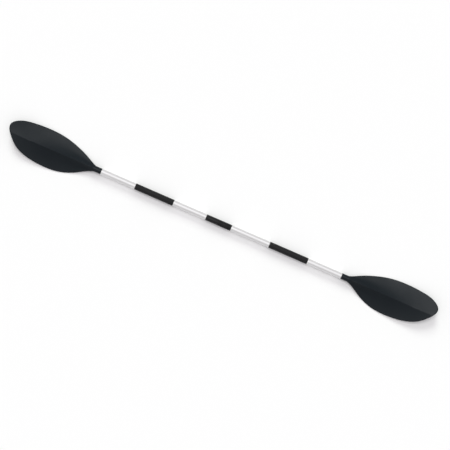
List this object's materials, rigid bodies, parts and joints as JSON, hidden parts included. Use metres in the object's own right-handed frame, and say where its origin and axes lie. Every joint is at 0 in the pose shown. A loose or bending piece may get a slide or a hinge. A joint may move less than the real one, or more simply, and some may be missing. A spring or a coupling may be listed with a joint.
{
  "type": "double-bladed paddle",
  "caption": "Take-apart kayak paddle: straight metal shaft with thin sleeve grips, a twist-lock coupler in the middle and a ridged asymmetric blade at each end.",
  "frame": {"origin": "mid-length, mid-width, on the surface that the blades lie on", "axes": "+X along the shaft towards the half that pulls off, +Y across the blades towards their longer edge, +Z out of the ridged faces"},
  "size_m": [2.18, 0.1753, 0.0468],
  "materials": {
    "anodised_tube": "satin anodised",
    "spigot_metal": "drawn",
    "rivet_metal": "as formed",
    "blade_plastic": "fine moulded grain",
    "coupler_plastic": "moulded",
    "washer_plastic": "natural acetal",
    "grip_rubber": "matte",
    "seal_rubber": "matte",
    "foam": "closed-cell foam"
  },
  "bodies": {
    "left_half": {"left_shaft_tube": "anodised_tube", "left_grip": "grip_rubber", "left_blade": "blade_plastic", "left_blade_rivets": "rivet_metal", "left_blade_end_plug": "foam", "left_inner_end_plug": "foam", "coupler_body": "coupler_plastic", "coupler_rivets": "rivet_metal"},
    "nut": {"lock_nut": "coupler_plastic", "nut_seal": "seal_rubber", "thrust_washer": "washer_plastic"},
    "clamp": {"collet_ring": "washer_plastic"},
    "right_half": {"right_shaft_tube": "anodised_tube", "right_grip": "grip_rubber", "right_blade": "blade_plastic", "right_blade_rivets": "rivet_metal", "right_blade_end_plug": "foam", "right_inner_end_plug": "foam", "spigot_tube": "spigot_metal", "spigot_bush": "coupler_plastic", "spigot_pins": "rivet_metal", "spigot_end_cap": "coupler_plastic"}
  },
  "joints": [
    {"name": "lock_nut_turn", "type": "hinge", "parent": "left_half", "child": "nut", "pos_m": [0, 0, 0.0192], "axis": [1, 0, 0], "range_deg": [0, 270]},
    {"name": "feather_turn", "type": "hinge", "parent": "left_half", "child": "clamp", "pos_m": [0, 0, 0.0192], "axis": [1, 0, 0], "range_deg": [-90, 90]},
    {"name": "pull_apart", "type": "slide", "parent": "clamp", "child": "right_half", "axis": [1, 0, 0], "range_m": [0, 0.3]}
  ]
}
